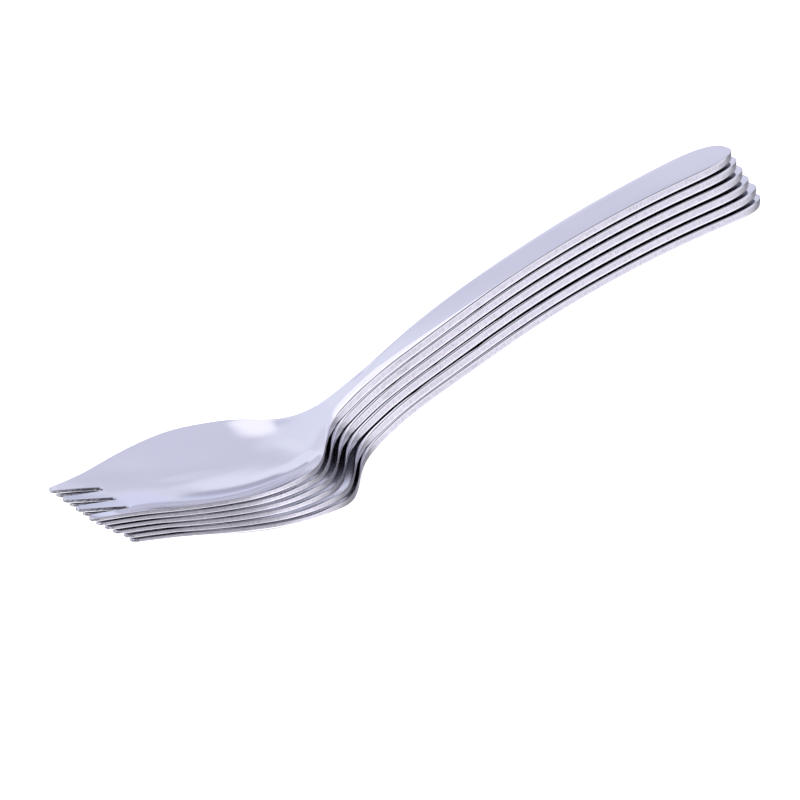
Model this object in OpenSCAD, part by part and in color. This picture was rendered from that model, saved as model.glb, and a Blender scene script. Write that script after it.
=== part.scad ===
// Six equal sporks lying in one another, as a nested stack on a table.
// Each spork is one stamped sheet: a shallow bowl with four tines, a cranked neck and a slim arched handle.
// Millimetres. +X runs from the tines to the handle, +Z is up and the table is at Z = 0.

/* [Bowl] */
// Width of the bowl at its widest
bowl_width = 38; // [34:0.5:42]
// Distance from the tine tips to the widest part of the bowl
bowl_widest_place = 37.6; // [34:0.1:40]
// Depth of the bowl below its rim
bowl_depth = 5.6; // [4.5:0.1:6.5]
// Width of the level floor along the middle of the bowl, at its widest
bowl_floor_width = 9.5; // [8:0.5:12]
// Thickness of the sheet at the bowl and the tines
bowl_thickness = 0.85; // [0.8:0.05:1.2]

/* [Tines] */
// Depth of the slots, from the tine tips to their round roots
slot_length = 11; // [9:0.1:13]
// Distance between the middle lines of neighbouring slots
slot_pitch = 5.3; // [5.1:0.05:5.6]
// Width of a slot at its root
slot_root_width = 1.5; // [1.2:0.1:2]
// Width of a slot at its mouth, between the tine tips
slot_mouth_width = 3.6; // [3:0.1:3.8]
// Width across the row of tine tips
tine_row_width = 18.1; // [17.5:0.1:20]
// Length over which a tine tip is rounded
tip_round_length = 1.2; // [0.8:0.1:1.6]
// Height of the tine tips above the rim of the bowl
tip_curl = 0.1; // [0.05:0.05:1]

/* [Neck and handle] */
// Length of a spork along the plane of its rim
spork_length = 182.5; // [170:0.5:195]
// Distance from the tine tips to the narrow of the neck
neck_place = 67.1; // [64:0.1:70]
// Width of the neck at its narrowest
neck_width = 6.2; // [5.5:0.1:7.5]
// Distance from the tine tips to the crank, where the line of the handle meets the plane of the rim
crank_place = 58.1; // [55:0.1:60]
// Height of the end of the handle above the rim of the bowl
handle_rise = 42.5; // [36:0.5:48]
// Width of the handle near its end
handle_width = 10.3; // [9:0.1:12]
// Length of the rounded end of the handle
handle_end_length = 13; // [10:0.5:18]
// Thickness of the handle at its edges
handle_thickness = 2.15; // [1.8:0.05:2.4]
// Height of the crown along the middle of the handle
handle_crown = 0.1; // [0.05:0.05:0.3]

/* [Nest] */
// Least gap between the bowls of neighbouring sporks, straight up
nest_clearance = 0.12; // [0.1:0.02:0.4]
// Least gap between the handles of neighbouring sporks, straight up
handle_clearance = 0.15; // [0.1:0.05:0.6]
// How far a spork usually lies towards the tines of the one below it
slide_step = 2; // [1:0.1:2.5]
// Usual turn of a spork against the one below it, with the handle up, in degrees
nest_turn = 0.42; // [0:0.02:0.8]

/* [Hidden] */

// Size of the soft bend at the crank
crank_softness = 1.15;
// Length over which the tine tips curl up
tip_curl_length = 9;
// Length of the shoulders and the neck over which the sheet thickens and gets its crown
neck_blend_length = 30;
handle_end_place = spork_length - handle_end_length;
slot_root_place = slot_length - slot_root_width / 2;
floor_share = bowl_floor_width / bowl_width;

// Irregular slides of the stack from the bottom pair to the top pair, as shares of the usual one
slide_shares = [0.7, 1.3, 1, 1, 0.8];
// Irregular turns of the stack from the bottom pair to the top pair, as shares of the usual one
turn_shares = [1.1, 0.7, 0.95, 0.95, 1];

// Outline: place between two named widths, and share of the way from the first width to the second
front_shares = [[0.25, 0.225], [0.5, 0.58], [0.75, 0.87]];
shoulder_shares = [[0.27, 0.084], [0.51, 0.271], [0.7, 0.611], [0.8, 0.81], [0.89, 0.93]];
handle_shares = [[0.2, 0.02], [0.44, 0.29], [0.7, 0.56], [0.87, 0.77]];

// Hollow of the bowl: place between the tine tips and the narrow of the neck, and share of the depth
dish_shares = [[0, 0], [0.2, 0.43], [0.365, 0.83], [0.515, 1], [0.665, 0.93], [0.78, 0.68], [0.865, 0.36],
    [0.93, 0.11], [1, 0]];

// Handle: share of its rise that is a straight slope, and how early the rest of the rise is reached
handle_straight_share = 0.47;
handle_bend_power = 2.4;
// Fullness of the rounded end of the handle, and share of its curve that is drawn before the blunt end
end_fullness = 2.7;
end_reach_share = 0.994;
// Width of a blunt tine tip as a share of the tine's width
tip_blunt_share = 0.35;

// Stations along the sheet, and cells across each tine
tip_station_shares = [0, 0.08, 0.3, 0.65, 1];
root_station_shares = [0, 0.35, 0.65, 0.88, 1];
end_station_shares = [0.3, 0.55, 0.75, 0.89, 0.97, 1];
tine_steps = 3;
bowl_steps = 24;
handle_steps = 14;
tine_count = 4;
tine_cells = 2;
nest_steps = 70;
nest_width_shares = [0, 0.25, 0.5, 0.75, 1];

function mix(a, b, share) = a + (b - a) * share;
function soft_step(share) = let (s = min(max(share, 0), 1)) s * s * (3 - 2 * s);

// Natural cubic spline through points [x, y]: its second derivatives, by elimination and back substitution
function gap_after(p, i) = p[i + 1].x - p[i].x;
function slope_after(p, i) = (p[i + 1].y - p[i].y) / gap_after(p, i);
function eliminated(p, i, row) =
    let (divisor = 2 * (gap_after(p, i - 1) + gap_after(p, i)) - gap_after(p, i - 1) * row[0])
    [gap_after(p, i) / divisor,
     (6 * (slope_after(p, i) - slope_after(p, i - 1)) - gap_after(p, i - 1) * row[1]) / divisor];
function rows(p, i) = i == 0
    ? [[0, 0]]
    : let (above = rows(p, i - 1)) concat(above, [eliminated(p, i, above[i - 1])]);
function bends_from(table, i) = i == len(table)
    ? [0]
    : let (below = bends_from(table, i + 1)) concat([table[i][1] - table[i][0] * below[0]], below);
function with_bends(p) = [p, bends_from(rows(p, len(p) - 2), 0)];
function segment(p, x, i) = i == 0 || x >= p[i].x ? i : segment(p, x, i - 1);
function spline(curve, x) =
    let (
        p = curve[0],
        bend = curve[1],
        i = segment(p, x, len(p) - 2),
        gap = gap_after(p, i),
        before = x - p[i].x,
        after = p[i + 1].x - x
    )
    (bend[i] * pow(after, 3) + bend[i + 1] * pow(before, 3)) / (6 * gap)
        + (p[i].y / gap - bend[i] * gap / 6) * after
        + (p[i + 1].y / gap - bend[i + 1] * gap / 6) * before;

// Points of an outline between two widths at two places, from hand-chosen shares
function between(place_a, place_b, width_a, width_b, shares) =
    [for (s = shares) [mix(place_a, place_b, s.x), mix(width_a, width_b, s.y) / 2]];

width_curve = with_bends(concat(
    [[0, tine_row_width / 2]],
    between(0, bowl_widest_place, tine_row_width, bowl_width, front_shares),
    [[bowl_widest_place, bowl_width / 2]],
    between(bowl_widest_place, neck_place, bowl_width, neck_width, shoulder_shares),
    [[neck_place, neck_width / 2]],
    between(neck_place, handle_end_place, neck_width, handle_width, handle_shares),
    [[handle_end_place, handle_width / 2]]
));
dish_curve = with_bends([for (s = dish_shares) [s.x * neck_place, s.y * bowl_depth]]);

// Half the width of the spork at x, with the rounded end of the handle
function end_reach(x) = max(0, (x - handle_end_place) / handle_end_length) * end_reach_share;
function end_round(x) = pow(1 - pow(end_reach(x), end_fullness), 1 / end_fullness);
function half_width(x) = spline(width_curve, min(x, handle_end_place)) * end_round(x);

// Side view: height of the edges above the plane of the rim
function handle_line(x) =
    let (along = (x - crank_place) / (spork_length - crank_place))
    handle_rise * mix(1 - pow(max(1 - along, 0), handle_bend_power), along, handle_straight_share);
function edge_height(x) =
    (handle_line(x) + sqrt(pow(handle_line(x), 2) + pow(crank_softness, 2))) / 2
        + tip_curl * pow(max(0, 1 - x / tip_curl_length), 2);
function edge_slope(x) =
    let (reach = crank_softness / 2)
    (edge_height(x + reach) - edge_height(x - reach)) / (2 * reach);

// Faces of the sheet: hollow bowl, crowned handle and a thickness that grows through the neck
function neck_share(x) = soft_step((x - neck_place) / neck_blend_length + 1);
function dish(x) = x < neck_place ? spline(dish_curve, x) : 0;
function wall_share(x, y) = min(max((abs(y) / half_width(x) - floor_share) / (1 - floor_share), 0), 1);
function arc(x, y) = 1 - pow(wall_share(x, y), 2);
function wall_slope(x, y) = 2 * dish(x) * wall_share(x, y) / (half_width(x) * (1 - floor_share));
function thickness(x, y) =
    mix(bowl_thickness, handle_thickness, neck_share(x))
        * sqrt(1 + pow(edge_slope(x), 2) + pow(wall_slope(x, y), 2));
function sheet_height(x, y) = edge_height(x) - dish(x) * arc(x, y);
function top_height(x, y) = sheet_height(x, y) + handle_crown * neck_share(x) * end_round(x) * arc(x, y);
function bottom_height(x, y) = sheet_height(x, y) - thickness(x, y);

// Slots: half the gap at x, and the lines that part the tines and run on through the sheet
function slot_half(x) = x < slot_root_place
    ? mix(slot_mouth_width, slot_root_width, x / slot_root_place) / 2
    : sqrt(max(0, pow(slot_root_width / 2, 2) - pow(x - slot_root_place, 2)));
function part_line(x) = slot_pitch * (x < slot_length ? 1 : half_width(x) / half_width(slot_length));
function part_lines(x) = [-half_width(x), -part_line(x), 0, part_line(x), half_width(x)];
function tip_round(x) =
    mix(tip_blunt_share, 1, sqrt(1 - pow(max(0, 1 - x / tip_round_length), 2)));

// Place across the sheet of one column of one tine, or of the stretch that runs on from it
function column(x, tine, cell) =
    let (
        lines = part_lines(x),
        gap = x < slot_length ? slot_half(x) : 0,
        left = lines[tine] + (tine > 0 ? gap : 0),
        right = lines[tine + 1] - (tine < tine_count - 1 ? gap : 0),
        middle = (left + right) / 2
    )
    middle + (right - left) * (cell / tine_cells - 1 / 2) * (x < tip_round_length ? tip_round(x) : 1);

stations = concat(
    tip_round_length * tip_station_shares,
    [for (i = [1:tine_steps]) mix(tip_round_length, slot_root_place, i / (tine_steps + 1))],
    [for (s = root_station_shares) mix(slot_root_place, slot_length, s)],
    [for (i = [1:bowl_steps]) mix(slot_length, neck_place, i / bowl_steps)],
    [for (i = [1:handle_steps]) mix(neck_place, handle_end_place, i / handle_steps)],
    [for (s = end_station_shares) mix(handle_end_place, spork_length, s)]
);
root_station = len(tip_station_shares) + tine_steps + len(root_station_shares) - 1;
last_station = len(stations) - 1;

// Vertices of one face of the sheet: parted tines up to the slot roots, then one row across the sheet
parted_row = tine_count * (tine_cells + 1);
whole_row = tine_count * tine_cells + 1;
face_vertices = root_station * parted_row + (last_station - root_station + 1) * whole_row;
function vertex(station, tine, cell) = station < root_station
    ? station * parted_row + tine * (tine_cells + 1) + cell
    : root_station * parted_row + (station - root_station) * whole_row + tine * tine_cells + cell;

parted_places = [for (i = [0:root_station - 1], t = [0:tine_count - 1], c = [0:tine_cells])
    [stations[i], column(stations[i], t, c)]];
whole_places = [for (i = [root_station:last_station], k = [0:whole_row - 1])
    let (t = min(floor(k / tine_cells), tine_count - 1))
    [stations[i], column(stations[i], t, k - t * tine_cells)]];
places = concat(parted_places, whole_places);
sheet_points = concat(
    [for (p = places) [p.x, p.y, top_height(p.x, p.y)]],
    [for (p = places) [p.x, p.y, bottom_height(p.x, p.y)]]
);

// Faces: four vertices as two triangles, and a wall between an edge of the top face and the bottom face
function halves(a, b, c, d) = [[a, b, c], [a, c, d]];
function wall(a, b) = halves(b, a, a + face_vertices, b + face_vertices);
tines = [0:tine_count - 1];
cells = [0:tine_cells - 1];
steps = [0:last_station - 1];
top_faces = [for (i = steps, t = tines, c = cells)
    each halves(vertex(i, t, c), vertex(i, t, c + 1), vertex(i + 1, t, c + 1), vertex(i + 1, t, c))];
bottom_faces = [for (f = top_faces) [f[2], f[1], f[0]] + face_vertices * [1, 1, 1]];
side_walls = [for (i = steps) each concat(
    wall(vertex(i + 1, 0, 0), vertex(i, 0, 0)),
    wall(vertex(i, tine_count - 1, tine_cells), vertex(i + 1, tine_count - 1, tine_cells))
)];
slot_walls = [for (i = [0:root_station - 1], t = [1:tine_count - 1]) each concat(
    wall(vertex(i + 1, t, 0), vertex(i, t, 0)),
    wall(vertex(i, t - 1, tine_cells), vertex(i + 1, t - 1, tine_cells))
)];
end_walls = [for (t = tines, c = cells) each concat(
    wall(vertex(0, t, c), vertex(0, t, c + 1)),
    wall(vertex(last_station, t, c + 1), vertex(last_station, t, c))
)];
sheet_faces = concat(top_faces, bottom_faces, side_walls, slot_walls, end_walls);

// Nest: how far a spork must rise to touch the one below it, at x and at a share of the width
function touch(x, share, slide) =
    let (y = share * min(half_width(x), half_width(x + slide)))
    top_height(x, y) - bottom_height(x + slide, y);
function nest_places(from, to) = [for (i = [0:nest_steps]) mix(from, to, i / nest_steps)];

// Lift of a spork with a given slide and turn, so that it just clears the one below it
function rise(from, to, slide, turn) =
    max([for (x = nest_places(from, to), s = nest_width_shares) touch(x, s, slide) - x * tan(turn)]);
function lift(slide, turn) = max(
    rise(0, crank_place, slide, turn) + nest_clearance,
    rise(crank_place, spork_length - slide, slide, turn) + handle_clearance
);

slides = slide_step * slide_shares;
turns = nest_turn * turn_shares;
lifts = [for (i = [0:len(slides) - 1]) lift(slides[i], turns[i])];

// Rest on the table: the line under the end of the handle and the underside of the bowl
handle_end_foot = [spork_length, bottom_height(spork_length, 0)];
rest_slope = max([for (x = stations) if (x < crank_place)
    (handle_end_foot.y - bottom_height(x, 0)) / (spork_length - x)]);
rest_pitch = atan(rest_slope);

// A point of the side view [x, z] after the nest's moves and the turn that lays the stack on the table
function turned(p, angle) = [p.x * cos(angle) + p.y * sin(angle), p.y * cos(angle) - p.x * sin(angle)];
function nested(p, place) = place == 0
    ? p
    : nested([-slides[place - 1], lifts[place - 1]] + turned(p, -turns[place - 1]), place - 1);
floor_height = turned(handle_end_foot, rest_pitch).y;
right_end = turned([spork_length, top_height(spork_length, 0)], rest_pitch).x;
left_end = turned(nested([0, bottom_height(0, column(0, 0, 0))], len(slides)), rest_pitch).x;

module spork() {
    polyhedron(points = sheet_points, faces = sheet_faces, convexity = 8);
}

// One place in the nest, counted from the bottom
module in_nest(place) {
    if (place == 0)
        children();
    else
        in_nest(place - 1)
            translate([-slides[place - 1], 0, lifts[place - 1]])
                rotate([0, -turns[place - 1], 0])
                    children();
}

module stacked_spork(place) {
    translate([-(left_end + right_end) / 2, 0, -floor_height])
        rotate([0, rest_pitch, 0])
            in_nest(place)
                spork();
}

module bottom_spork() { color("darkgray") stacked_spork(0); }
module second_spork() { color("silver") stacked_spork(1); }
module third_spork() { color("darkgray") stacked_spork(2); }
module fourth_spork() { color("silver") stacked_spork(3); }
module fifth_spork() { color("darkgray") stacked_spork(4); }
module top_spork() { color("silver") stacked_spork(5); }

bottom_spork();
second_spork();
third_spork();
fourth_spork();
fifth_spork();
top_spork();
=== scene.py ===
"""Six nested stainless sporks on a bright floor, seen from the tine side as in the photograph."""
import bisect
import math

import bmesh
import bpy
from mathutils import Matrix, Vector


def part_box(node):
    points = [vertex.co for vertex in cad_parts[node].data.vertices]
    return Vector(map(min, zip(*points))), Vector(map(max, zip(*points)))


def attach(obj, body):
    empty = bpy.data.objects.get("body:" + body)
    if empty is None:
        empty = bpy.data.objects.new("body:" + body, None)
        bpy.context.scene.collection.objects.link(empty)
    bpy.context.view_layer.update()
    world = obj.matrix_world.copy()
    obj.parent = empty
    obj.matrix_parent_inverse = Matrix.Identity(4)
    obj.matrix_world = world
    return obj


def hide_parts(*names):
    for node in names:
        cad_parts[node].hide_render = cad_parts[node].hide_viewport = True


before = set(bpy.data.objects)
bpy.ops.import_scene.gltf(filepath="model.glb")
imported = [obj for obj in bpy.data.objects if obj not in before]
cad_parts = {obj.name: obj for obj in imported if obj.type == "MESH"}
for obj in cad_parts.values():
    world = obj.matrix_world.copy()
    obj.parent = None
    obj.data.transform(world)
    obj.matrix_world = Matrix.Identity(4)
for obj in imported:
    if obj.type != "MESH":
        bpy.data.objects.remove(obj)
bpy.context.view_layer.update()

SPORKS = ("bottom_spork", "second_spork", "third_spork", "fourth_spork", "fifth_spork", "top_spork")
MM = 0.001

# Sizes of the sheet metal
weld_gap = 0.001 * MM
sharp_angle = math.radians(50)
wall_normal_share = 0.6
slot_zone_length = 11.3 * MM
slot_zone_width = 7.7 * MM
tip_zone_length = 1.8 * MM
handle_edge_round = 0.26 * MM
bowl_edge_round = 0.2 * MM
slot_edge_round = 0.07 * MM
lower_edge_round = 0.15 * MM
edge_round_steps = 2
smooth_levels = 2

# Raised middle of the neck, with sloping flanks that narrow to nothing along the handle
neck_place = 66 * MM
flank_fade_before = 12 * MM
flank_fade_after = 62 * MM
flank_width = 2.1 * MM
flank_slope = 0.32
flank_curve = 1.5
row_gap = 0.9 * MM

# Finishes: most of a noise lies between two values, and a stretch below one draws it out along that axis
noise_low, noise_high = 0.3, 0.7
hairline_stretch = (0.06, 1, 1)
smear_stretch = (0.4, 1, 1)
sheen_stretch = (0.5, 1, 1)
smudge_stretch = (0.6, 1, 1)
across_edge_stretch = (1, 1, 0.25)
even_stretch = (1, 1, 1)
tear_stretch = (0.5, 1, 1.6)
fine_depth = 0.1 * MM
tear_depth = 0.15 * MM

# Floor and tent
floor_size = 8
floor_colour = (0.92, 0.92, 0.93, 1)
floor_glow_colour = (1, 1, 1, 1)
floor_glow = 0.9
floor_roughness = 0.9
tent_strength = 1.154

# Camera of the photograph
view_heading = math.radians(29.25)
view_drop = math.radians(33.52)
view_roll = math.radians(-15.9)
view_distance = 600 * MM
view_target = Vector((-12.1 * MM, 4.11 * MM, 5.22 * MM))
nearest_seen = 10 * MM
photo_width = 800
focal_in_pixels = 2648.6
sensor_width = 36


def make_active(piece):
    bpy.ops.object.select_all(action="DESELECT")
    piece.select_set(True)
    bpy.context.view_layer.objects.active = piece


def apply_modifier(piece, kind, **settings):
    bpy.ops.object.modifier_add(type=kind)
    modifier = piece.modifiers[-1]
    for name, value in settings.items():
        setattr(modifier, name, value)
    bpy.ops.object.modifier_apply(modifier=modifier.name)


# Material helpers
def new_material(name):
    material = bpy.data.materials.new(name)
    material.use_nodes = True
    return material, material.node_tree


def add_node(tree, kind, **settings):
    node = tree.nodes.new(kind)
    for name, value in settings.items():
        setattr(node, name, value)
    return node


def stretched_noise(tree, stretch, scale, detail, roughness=0.5):
    coordinates = add_node(tree, "ShaderNodeTexCoord")
    mapping = add_node(tree, "ShaderNodeMapping")
    mapping.inputs["Scale"].default_value = stretch
    noise = add_node(tree, "ShaderNodeTexNoise")
    noise.inputs["Scale"].default_value = scale
    noise.inputs["Detail"].default_value = detail
    noise.inputs["Roughness"].default_value = roughness
    tree.links.new(coordinates.outputs["Object"], mapping.inputs["Vector"])
    tree.links.new(mapping.outputs["Vector"], noise.inputs["Vector"])
    return noise.outputs["Fac"]


def colour_ramp(tree, factor, stops):
    ramp = add_node(tree, "ShaderNodeValToRGB")
    elements = ramp.color_ramp.elements
    while len(elements) < len(stops):
        elements.new(0.5)
    for element, (place, colour) in zip(elements, stops):
        element.position = place
        element.color = (*colour, 1)
    tree.links.new(factor, ramp.inputs["Fac"])
    return ramp.outputs["Color"]


def tinted(tree, colour, tint):
    node = add_node(tree, "ShaderNodeMix", data_type="RGBA", blend_type="MULTIPLY")
    node.inputs["Factor"].default_value = 1
    tree.links.new(colour, node.inputs["A"])
    tree.links.new(tint, node.inputs["B"])
    return node.outputs["Result"]


def value_range(tree, factor, low, high, new_low, new_high):
    node = add_node(tree, "ShaderNodeMapRange")
    for name, value in zip(("From Min", "From Max", "To Min", "To Max"), (low, high, new_low, new_high)):
        node.inputs[name].default_value = value
    tree.links.new(factor, node.inputs["Value"])
    return node.outputs["Result"]


def roughness_between(tree, noise, smoothest, roughest):
    return value_range(tree, noise, noise_low, noise_high, smoothest, roughest)


def bump(tree, height, strength, distance):
    node = add_node(tree, "ShaderNodeBump")
    node.inputs["Strength"].default_value = strength
    node.inputs["Distance"].default_value = distance
    tree.links.new(height, node.inputs["Height"])
    return node.outputs["Normal"]


def steel(name, colour_source, roughness_source, normal_source):
    material, tree = new_material(name)
    shader = tree.nodes["Principled BSDF"]
    shader.inputs["Metallic"].default_value = 1
    tree.links.new(colour_source(tree), shader.inputs["Base Color"])
    tree.links.new(roughness_source(tree), shader.inputs["Roughness"])
    tree.links.new(normal_source(tree), shader.inputs["Normal"])
    return material


# Polished faces: pale lavender steel with faint smears and hairlines along the sheet
def polished_colour(tree):
    smeared = (0.685, 0.68, 0.719)
    clean = (0.728, 0.724, 0.763)
    smear = stretched_noise(tree, smear_stretch, scale=60, detail=3)
    return colour_ramp(tree, smear, [(noise_low, smeared), (noise_high, clean)])


def polished_roughness(tree):
    sheen = stretched_noise(tree, sheen_stretch, scale=90, detail=4)
    return roughness_between(tree, sheen, smoothest=0.07, roughest=0.12)


def polished_normal(tree):
    hairlines = stretched_noise(tree, hairline_stretch, scale=2600, detail=3)
    return bump(tree, hairlines, strength=0.025, distance=fine_depth)


# Undersides: left satin, with fuller brush lines and random smears, and with painted shade: their colour is
# made far darker than the polished faces so the gaps between the nested sporks look dark
def underside_painted_shade_colour(tree):
    # Painted shade: both colours are far darker than the polished steel, so the gaps between the nested
    # sporks look dark
    satin_painted_shade_dark = (0.15, 0.15, 0.165)
    satin_painted_shade_light = (0.21, 0.21, 0.23)
    smear = stretched_noise(tree, smear_stretch, scale=80, detail=4)
    return colour_ramp(tree, smear, [(noise_low, satin_painted_shade_dark), (noise_high, satin_painted_shade_light)])


def underside_roughness(tree):
    sheen = stretched_noise(tree, sheen_stretch, scale=90, detail=4)
    return roughness_between(tree, sheen, smoothest=0.2, roughest=0.3)


def underside_normal(tree):
    brush_lines = stretched_noise(tree, hairline_stretch, scale=2200, detail=4)
    return bump(tree, brush_lines, strength=0.08, distance=fine_depth)


# Stamped edges: matt, finely speckled, with a few darker smudges
def edge_colour(tree):
    pit = (0.31, 0.305, 0.325)
    dull = (0.585, 0.565, 0.62)
    plain = (0.715, 0.69, 0.75)
    fleck = (0.83, 0.805, 0.86)
    untouched = (1, 1, 1)
    smudged = (0.6, 0.6, 0.62)
    speckle = stretched_noise(tree, across_edge_stretch, scale=3400, detail=4, roughness=0.65)
    grain = colour_ramp(tree, speckle, [(0.2, pit), (0.38, dull), (0.6, plain), (0.75, fleck)])
    smudge = stretched_noise(tree, smudge_stretch, scale=95, detail=5, roughness=0.7)
    return tinted(tree, grain, colour_ramp(tree, smudge, [(0.6, untouched), (0.74, smudged)]))


def edge_roughness(tree):
    speckle = stretched_noise(tree, even_stretch, scale=1500, detail=3)
    return roughness_between(tree, speckle, smoothest=0.28, roughest=0.46)


def edge_normal(tree):
    grain = stretched_noise(tree, even_stretch, scale=3000, detail=4, roughness=0.6)
    return bump(tree, grain, strength=0.25, distance=fine_depth)


# Slot walls: torn by the punch, dark and rough with bright flecks
def slot_colour(tree):
    torn = (0.12, 0.12, 0.13)
    scraped = (0.36, 0.36, 0.39)
    fleck = (0.88, 0.87, 0.91)
    tear = stretched_noise(tree, tear_stretch, scale=1900, detail=4, roughness=0.7)
    return colour_ramp(tree, tear, [(0.36, torn), (0.5, scraped), (0.64, fleck)])


def slot_roughness(tree):
    tear = stretched_noise(tree, tear_stretch, scale=1300, detail=3)
    return roughness_between(tree, tear, smoothest=0.3, roughest=0.55)


def slot_normal(tree):
    tear = stretched_noise(tree, tear_stretch, scale=1700, detail=4, roughness=0.65)
    return bump(tree, tear, strength=0.7, distance=tear_depth)


polished_face = steel("polished_face", polished_colour, polished_roughness, polished_normal)
stamped_edge = steel("stamped_edge", edge_colour, edge_roughness, edge_normal)
punched_slot = steel("punched_slot", slot_colour, slot_roughness, slot_normal)
# The underside material has painted shade in its dark colour
satin_painted_shade_underside = steel("satin_painted_shade_underside", underside_painted_shade_colour, underside_roughness, underside_normal)
FINISHES = (polished_face, stamped_edge, punched_slot, satin_painted_shade_underside)
FACE_SLOT, EDGE_SLOT, PUNCHED_SLOT, UNDER_SLOT = range(len(FINISHES))


def finish_of(face, tine_end):
    """Which of the four finishes a face of the sheet has, by its normal and its place; the underside finish
    carries painted shade in its colour.
    """
    if abs(face.normal.z) > wall_normal_share:
        return FACE_SLOT if face.normal.z > 0 else UNDER_SLOT
    in_slots = face.center.x < tine_end + slot_zone_length and abs(face.center.y) < slot_zone_width
    at_tip = face.center.x < tine_end + tip_zone_length
    return PUNCHED_SLOT if in_slots or at_tip else EDGE_SLOT


def neck_nearness(along):
    """One at the narrow of the neck, fading to nothing in the bowl and along the handle."""
    away = along - neck_place
    share = 1 - min(abs(away) / (flank_fade_after if away > 0 else flank_fade_before), 1)
    return share * share * (3 - 2 * share)


def half_width_at(outline, along):
    """Half the width of the sheet at a place, between the two nearest points of its outline."""
    after = min(max(bisect.bisect(outline, (along, 0)), 1), len(outline) - 1)
    (start, start_width), (end, end_width) = outline[after - 1], outline[after]
    share = (along - start) / (end - start)
    return start_width + share * (end_width - start_width)


def raise_neck(mesh, tine_end):
    """Lifts the middle of the neck above its edges, on both faces, with a flank on either side."""
    neck = [v for v in mesh.vertices if neck_nearness(v.co.x - tine_end) > 0]
    rows = {}
    for vertex in neck:
        along = vertex.co.x - tine_end
        row = round(along / row_gap)
        rows[row] = max(rows.get(row, (0, 0)), (abs(vertex.co.y), along))
    outline = sorted((along, half_width) for half_width, along in rows.values())
    for vertex in neck:
        along = vertex.co.x - tine_end
        width = flank_width * neck_nearness(along)
        inside = half_width_at(outline, along) - abs(vertex.co.y)
        out = min(max(1 - inside / width, 0), 1)
        vertex.co.z += flank_slope * width * (1 - out ** flank_curve)


def edge_round(edge, tine_end):
    """Rounding of an edge of the sheet: small below and on the tines, larger along the bowl and handle."""
    if max(face.normal.z for face in edge.link_faces) < wall_normal_share:
        return lower_edge_round
    if any(face.material_index == PUNCHED_SLOT for face in edge.link_faces):
        return slot_edge_round
    along = (edge.verts[0].co.x + edge.verts[1].co.x) / 2 - tine_end
    return bowl_edge_round if along < neck_place else handle_edge_round


def weigh_edges(mesh, tine_end):
    """Marks the sharp edges of the sheet with their shares of the largest rounding."""
    work = bmesh.new()
    work.from_mesh(mesh)
    weight = work.edges.layers.float.new("bevel_weight_edge")
    for edge in work.edges:
        at_face = max(abs(face.normal.z) for face in edge.link_faces) > wall_normal_share
        if at_face and edge.calc_face_angle(0) > sharp_angle:
            edge[weight] = edge_round(edge, tine_end) / handle_edge_round
    work.to_mesh(mesh)
    work.free()


def polished_spork(node):
    """A smooth spork with rounded edges, from a copy of the plain sheet."""
    piece = bpy.data.objects.new("polished_" + node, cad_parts[node].data.copy())
    bpy.context.scene.collection.objects.link(piece)
    make_active(piece)
    piece.data.materials.clear()
    for material in FINISHES:
        piece.data.materials.append(material)

    bpy.ops.object.mode_set(mode="EDIT")
    bpy.ops.mesh.select_all(action="SELECT")
    bpy.ops.mesh.remove_doubles(threshold=weld_gap)
    bpy.ops.mesh.tris_convert_to_quads(face_threshold=sharp_angle, shape_threshold=math.pi)
    bpy.ops.object.mode_set(mode="OBJECT")

    tine_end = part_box(node)[0].x
    for face in piece.data.polygons:
        face.material_index = finish_of(face, tine_end)

    weigh_edges(piece.data, tine_end)
    apply_modifier(piece, "BEVEL", width=handle_edge_round, segments=edge_round_steps, limit_method="WEIGHT",
                   use_clamp_overlap=False, material=FACE_SLOT)
    apply_modifier(piece, "SUBSURF", levels=smooth_levels, render_levels=smooth_levels)
    raise_neck(piece.data, tine_end)
    bpy.ops.object.shade_smooth()
    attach(piece, node)
    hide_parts(node)


for spork_node in SPORKS:
    polished_spork(spork_node)

# Floor
bpy.ops.mesh.primitive_plane_add(size=floor_size, location=(0, 0, 0))
floor = bpy.context.object
floor.name = "pale_floor"
floor_material, floor_tree = new_material("pale_floor")
floor_shader = floor_tree.nodes["Principled BSDF"]
floor_shader.inputs["Base Color"].default_value = floor_colour
floor_shader.inputs["Roughness"].default_value = floor_roughness
floor_shader.inputs["Emission Color"].default_value = floor_glow_colour
floor_shader.inputs["Emission Strength"].default_value = floor_glow
floor.data.materials.append(floor_material)
floor.visible_glossy = False

# World: a pale tent with brighter windows, a darker room behind the camera and a shaded table on one side
world = bpy.data.worlds.new("studio_tent")
bpy.context.scene.world = world
world.use_nodes = True
tent = world.node_tree
direction = add_node(tent, "ShaderNodeTexCoord").outputs["Generated"]
split = add_node(tent, "ShaderNodeSeparateXYZ")
tent.links.new(direction, split.inputs["Vector"])


def heading(azimuth, elevation):
    """Direction at an azimuth from +Y towards +X and an elevation above the horizon, in degrees."""
    a, e = math.radians(azimuth), math.radians(elevation)
    return (math.sin(a) * math.cos(e), math.cos(a) * math.cos(e), math.sin(e))


def soft_window(below, azimuth, elevation, whole, gone, colour):
    """The tent with a round window or shade of one colour, whole inside one angle and gone past another."""
    towards = add_node(tent, "ShaderNodeVectorMath", operation="DOT_PRODUCT")
    tent.links.new(direction, towards.inputs[0])
    towards.inputs[1].default_value = heading(azimuth, elevation)
    share = add_node(tent, "ShaderNodeMapRange", interpolation_type="SMOOTHSTEP")
    share.inputs["From Min"].default_value = math.cos(math.radians(gone))
    share.inputs["From Max"].default_value = math.cos(math.radians(whole))
    tent.links.new(towards.outputs["Value"], share.inputs["Value"])
    mix = add_node(tent, "ShaderNodeMix", data_type="RGBA")
    tent.links.new(share.outputs["Result"], mix.inputs["Factor"])
    tent.links.new(below, mix.inputs["A"])
    mix.inputs["B"].default_value = (*colour, 1)
    return mix.outputs["Result"]


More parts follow.
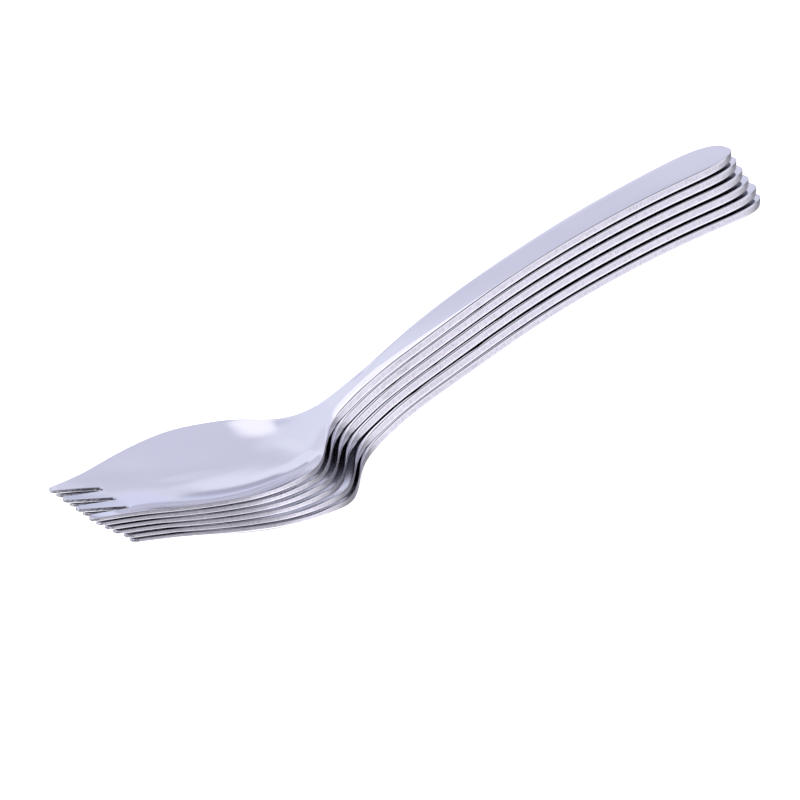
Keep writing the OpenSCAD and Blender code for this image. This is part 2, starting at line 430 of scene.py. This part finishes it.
# Light of the tent by height, from straight below to straight above
under_light = (1.9, 1.9, 2)
low_light = (1, 1, 1.06)
lower_wall = (0.93, 0.93, 1)
below_horizon = (0.9, 0.9, 0.98)
horizon = (0.84, 0.85, 0.98)
wall = (0.79, 0.8, 0.94)
upper_wall = (0.74, 0.745, 0.89)
roof = (0.7, 0.71, 0.86)
level = value_range(tent, split.outputs["Z"], -1, 1, 0, 1)
light = colour_ramp(tent, level, [(0.04, under_light), (0.14, low_light), (0.2, lower_wall),
                                  (0.45, below_horizon), (0.5, horizon), (0.6, wall), (0.68, upper_wall),
                                  (0.75, roof), (1, roof)])

# Lights mirrored by the end of the bowl, the neck, its flank and the middle of the bowl
light = soft_window(light, azimuth=-4, elevation=50, whole=14, gone=32, colour=(0.84, 0.86, 1.02))
light = soft_window(light, azimuth=13, elevation=43, whole=3, gone=11, colour=(0.875, 0.895, 1.035))
light = soft_window(light, azimuth=56, elevation=84, whole=4, gone=23, colour=(1.15, 1.15, 1.25))
light = soft_window(light, azimuth=142, elevation=68, whole=8, gone=20, colour=(1.35, 1.35, 1.45))

# Dimmer wall beyond the handle, a faint light on the handle's end and a dark side of the room
light = soft_window(light, azimuth=54, elevation=14, whole=10, gone=22, colour=(0.68, 0.69, 0.83))
light = soft_window(light, azimuth=45, elevation=20.5, whole=3, gone=8, colour=(0.745, 0.755, 0.905))
light = soft_window(light, azimuth=97, elevation=-2, whole=14, gone=24, colour=(0.1, 0.1, 0.12))

# Light band along the near rim of the bowl, with the darker crescent in it
light = soft_window(light, azimuth=24, elevation=11, whole=14.5, gone=18, colour=(0.88, 0.9, 1.05))
light = soft_window(light, azimuth=28.5, elevation=6.5, whole=10.7, gone=11.3, colour=(0.45, 0.46, 0.59))
light = soft_window(light, azimuth=17.5, elevation=19.5, whole=9.2, gone=11.6, colour=(0.86, 0.88, 1.03))
light = soft_window(light, azimuth=30, elevation=-6, whole=8, gone=17, colour=(0.74, 0.77, 0.97))

# Light on the handles' edges, the dark room behind the camera and the shaded table
light = soft_window(light, azimuth=161, elevation=-50, whole=12, gone=32, colour=(1.3, 1.28, 1.4))
light = soft_window(light, azimuth=152, elevation=20, whole=18, gone=32, colour=(0.05, 0.05, 0.065))
light = soft_window(light, azimuth=195, elevation=16, whole=14, gone=32, colour=(0.05, 0.05, 0.065))
light = soft_window(light, azimuth=192, elevation=-20, whole=13, gone=30, colour=(0.42, 0.42, 0.45))
light = soft_window(light, azimuth=80, elevation=-38, whole=14, gone=38, colour=(0.28, 0.28, 0.3))
tent.links.new(light, tent.nodes["Background"].inputs["Color"])
tent.nodes["Background"].inputs["Strength"].default_value = tent_strength

# Camera
forward = Vector((math.sin(view_heading) * math.cos(view_drop), math.cos(view_heading) * math.cos(view_drop),
                  -math.sin(view_drop)))
level_right = Vector((math.cos(view_heading), -math.sin(view_heading), 0))
level_up = level_right.cross(forward)
right = level_right * math.cos(view_roll) + level_up * math.sin(view_roll)
up = level_up * math.cos(view_roll) - level_right * math.sin(view_roll)
turn = Matrix((right, up, -forward)).transposed()
bpy.ops.object.camera_add(location=view_target - forward * view_distance, rotation=turn.to_euler())
camera = bpy.context.object
camera.data.sensor_width = sensor_width
camera.data.lens = sensor_width * focal_in_pixels / photo_width
camera.data.clip_start = nearest_seen
bpy.context.scene.camera = camera
bpy.context.scene.view_settings.view_transform = "Standard"
